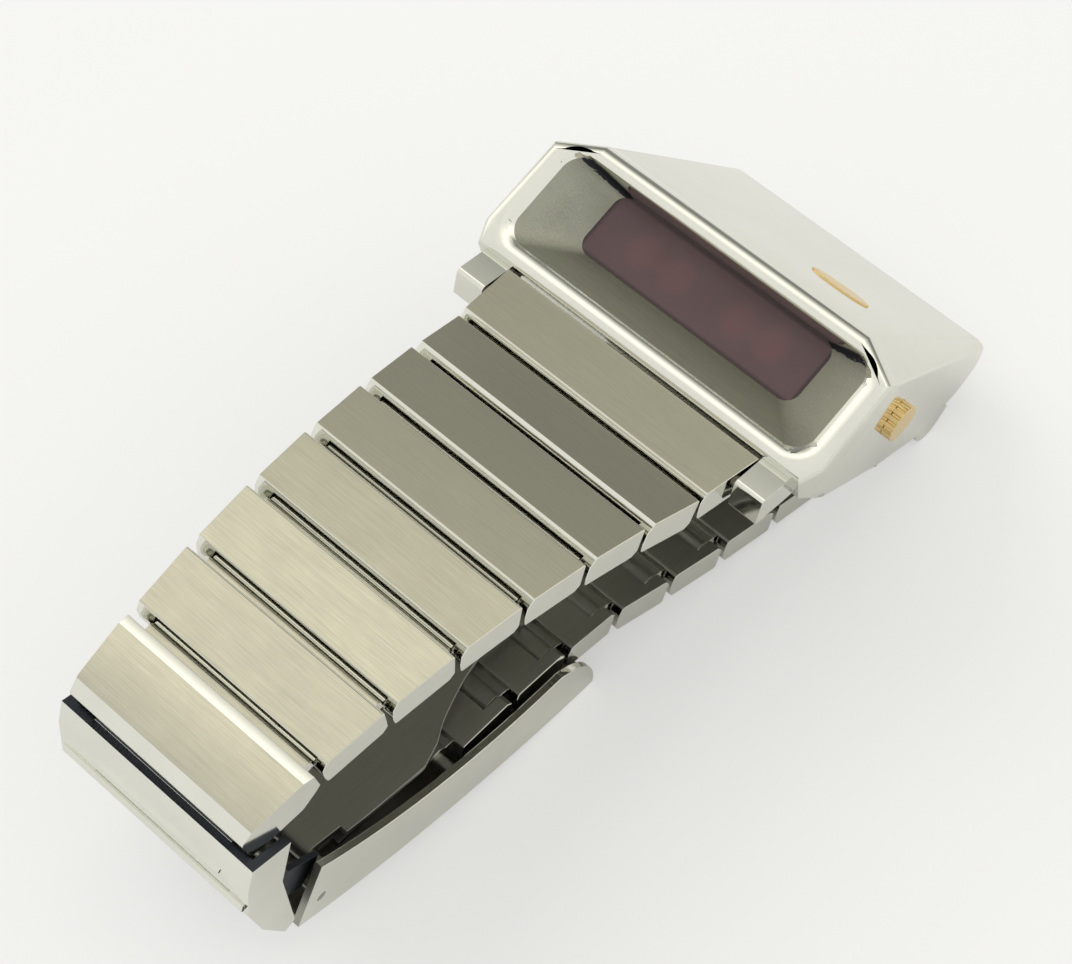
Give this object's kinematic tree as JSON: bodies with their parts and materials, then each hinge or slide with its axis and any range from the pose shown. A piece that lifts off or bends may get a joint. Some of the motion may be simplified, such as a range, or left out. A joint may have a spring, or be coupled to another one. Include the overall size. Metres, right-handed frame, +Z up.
{
  "type": "led_wristwatch",
  "caption": "Polished steel driver's wristwatch with a slanted dark red light-emitting display, one gold side button and a tapering link bracelet with a folding clasp.",
  "frame": {"origin": "Centre of the whole box in X and Y, on the surface that the watch lies on.", "axes": "+Z up from that surface; +Y towards the 12 o'clock side of the case; +X to the 3 o'clock side, where the button is."},
  "size_m": [0.0322, 0.079, 0.027],
  "materials": {
    "polished_steel": "polished",
    "brushed_steel": "brushed",
    "gold_plate": "polished",
    "lens_red": "polished",
    "lit_red": "glossy",
    "board_ceramic": "matte",
    "board_green": "matte",
    "chip_black": "matte",
    "crystal_can": "satin",
    "cell_steel": "satin",
    "carrier_plastic": "matte",
    "seal_rubber": "matte"
  },
  "bodies": {
    "case": {"case_shell": "polished_steel", "front_bezel": "polished_steel", "display_lens": "lens_red", "lens_gasket": "seal_rubber", "led_module": "board_ceramic", "led_digits": "lit_red", "circuit_board": "board_green", "timing_chip": "chip_black", "quartz_crystal": "crystal_can", "battery_cells": "cell_steel", "battery_carrier": "carrier_plastic", "caseback": "polished_steel", "caseback_seal": "seal_rubber", "caseback_screws": "polished_steel", "top_inlay": "gold_plate"},
    "button": {"time_button": "gold_plate", "button_spring": "polished_steel"},
    "front_end_link": {"front_end_link": "brushed_steel", "front_end_link_pin": "brushed_steel"},
    "front_link_1": {"front_link_1": "brushed_steel", "front_link_1_pin": "brushed_steel"},
    "front_link_2": {"front_link_2": "brushed_steel", "front_link_2_pin": "brushed_steel"},
    "front_link_3": {"front_link_3": "brushed_steel", "front_link_3_pin": "brushed_steel"},
    "front_link_4": {"front_link_4": "brushed_steel", "front_link_4_pin": "brushed_steel"},
    "front_link_5": {"front_link_5": "brushed_steel", "front_link_5_pin": "brushed_steel"},
    "front_link_6": {"front_link_6": "brushed_steel", "front_link_6_pin": "brushed_steel"},
    "front_link_7": {"front_link_7": "brushed_steel", "front_link_7_pin": "brushed_steel", "end_cap_bar": "polished_steel"},
    "rear_end_link": {"rear_end_link": "brushed_steel", "rear_end_link_pin": "brushed_steel"},
    "rear_link_1": {"rear_link_1": "brushed_steel", "rear_link_1_pin": "brushed_steel"},
    "rear_link_2": {"rear_link_2": "brushed_steel", "rear_link_2_pin": "brushed_steel"},
    "rear_link_3": {"rear_link_3": "brushed_steel", "rear_link_3_pin": "brushed_steel"},
    "rear_link_4": {"rear_link_4": "brushed_steel", "rear_link_4_pin": "brushed_steel"},
    "rear_link_5": {"rear_link_5": "brushed_steel", "rear_link_5_pin": "brushed_steel"},
    "rear_link_6": {"rear_link_6": "brushed_steel", "rear_link_6_pin": "brushed_steel"},
    "rear_link_7": {"rear_link_7": "brushed_steel", "rear_link_7_pin": "brushed_steel"},
    "rear_link_8": {"rear_link_8": "brushed_steel", "rear_link_8_pin": "brushed_steel"},
    "end_cap": {"clasp_end_cap": "polished_steel"},
    "cover": {"clasp_cover": "polished_steel", "adjust_bar": "polished_steel", "cover_hinge_pin": "polished_steel"},
    "outer_leaf": {"clasp_outer_leaf": "polished_steel"},
    "inner_leaf": {"clasp_inner_leaf": "polished_steel", "leaf_hinge_pin": "polished_steel", "clasp_end_bar": "polished_steel"}
  },
  "joints": [
    {"name": "front_end_link_hinge", "type": "hinge", "parent": "case", "child": "front_end_link", "pos_m": [0, 0.00635, 0.02026], "axis": [-1, 0, 0], "range_deg": [0, 50]},
    {"name": "front_link_1_hinge", "type": "hinge", "parent": "front_end_link", "child": "front_link_1", "pos_m": [0, 0.00083, 0.02092], "axis": [-1, 0, 0], "range_deg": [0, 10]},
    {"name": "front_link_2_hinge", "type": "hinge", "parent": "front_link_1", "child": "front_link_2", "pos_m": [0, -0.00466, 0.02282], "axis": [-1, 0, 0], "range_deg": [0, 10]},
    {"name": "front_link_3_hinge", "type": "hinge", "parent": "front_link_2", "child": "front_link_3", "pos_m": [0, -0.01028, 0.02422], "axis": [-1, 0, 0], "range_deg": [0, 10]},
    {"name": "front_link_4_hinge", "type": "hinge", "parent": "front_link_3", "child": "front_link_4", "pos_m": [0, -0.01602, 0.02507], "axis": [-1, 0, 0], "range_deg": [0, 10]},
    {"name": "front_link_5_hinge", "type": "hinge", "parent": "front_link_4", "child": "front_link_5", "pos_m": [0, -0.02181, 0.02535], "axis": [-1, 0, 0], "range_deg": [0, 10]},
    {"name": "front_link_6_hinge", "type": "hinge", "parent": "front_link_5", "child": "front_link_6", "pos_m": [0, -0.0276, 0.02501], "axis": [-1, 0, 0], "range_deg": [0, 10]},
    {"name": "front_link_7_hinge", "type": "hinge", "parent": "front_link_6", "child": "front_link_7", "pos_m": [0, -0.03332, 0.024], "axis": [-1, 0, 0], "range_deg": [0, 10]},
    {"name": "end_cap_hinge", "type": "hinge", "parent": "front_link_7", "child": "end_cap", "pos_m": [0, -0.03706, 0.02185], "axis": [-1, 0, 0], "range_deg": [0, 10]},
    {"name": "rear_end_link_hinge", "type": "hinge", "parent": "case", "child": "rear_end_link", "pos_m": [0, 0.03309, 0.00174], "axis": [1, 0, 0], "range_deg": [0, 10]},
    {"name": "rear_link_1_hinge", "type": "hinge", "parent": "rear_end_link", "child": "rear_link_1", "pos_m": [0, 0.02753, 0.00176], "axis": [1, 0, 0], "range_deg": [0, 10]},
    {"name": "rear_link_2_hinge", "type": "hinge", "parent": "rear_link_1", "child": "rear_link_2", "pos_m": [0, 0.02173, 0.00179], "axis": [1, 0, 0], "range_deg": [0, 10]},
    {"name": "rear_link_3_hinge", "type": "hinge", "parent": "rear_link_2", "child": "rear_link_3", "pos_m": [0, 0.01593, 0.00202], "axis": [1, 0, 0], "range_deg": [0, 10]},
    {"name": "rear_link_4_hinge", "type": "hinge", "parent": "rear_link_3", "child": "rear_link_4", "pos_m": [0, 0.01016, 0.00256], "axis": [1, 0, 0], "range_deg": [0, 10]},
    {"name": "rear_link_5_hinge", "type": "hinge", "parent": "rear_link_4", "child": "rear_link_5", "pos_m": [0, 0.00443, 0.00348], "axis": [1, 0, 0], "range_deg": [0, 10]},
    {"name": "rear_link_6_hinge", "type": "hinge", "parent": "rear_link_5", "child": "rear_link_6", "pos_m": [0, -0.00124, 0.00471], "axis": [1, 0, 0], "range_deg": [0, 10]},
    {"name": "rear_link_7_hinge", "type": "hinge", "parent": "rear_link_6", "child": "rear_link_7", "pos_m": [0, -0.00694, 0.00574], "axis": [1, 0, 0], "range_deg": [0, 4]},
    {"name": "rear_link_8_hinge", "type": "hinge", "parent": "rear_link_7", "child": "rear_link_8", "pos_m": [0, -0.01273, 0.00607], "axis": [1, 0, 0], "range_deg": [0, 3]},
    {"name": "cover_hinge", "type": "hinge", "parent": "rear_link_8", "child": "cover", "pos_m": [0, -0.01853, 0.00589], "axis": [1, 0, 0], "range_deg": [0, 3]},
    {"name": "outer_leaf_hinge", "type": "hinge", "parent": "cover", "child": "outer_leaf", "pos_m": [0, -0.03239, 0.00756], "axis": [1, 0, 0], "range_deg": [0, 75]},
    {"name": "inner_leaf_hinge", "type": "hinge", "parent": "outer_leaf", "child": "inner_leaf", "pos_m": [0, -0.00616, 0.00777], "axis": [-1, 0, 0], "range_deg": [0, 70]},
    {"name": "button_press", "type": "slide", "parent": "case", "child": "button", "axis": [-1, 0, 0], "range_m": [0, 0.0006], "stiffness_N_per_m": 300}
  ],
  "couplings": [
    {"joint": "outer_leaf_hinge", "follows": "front_end_link_hinge", "ratio": 1.5},
    {"joint": "inner_leaf_hinge", "follows": "front_end_link_hinge", "ratio": 1.4}
  ]
}
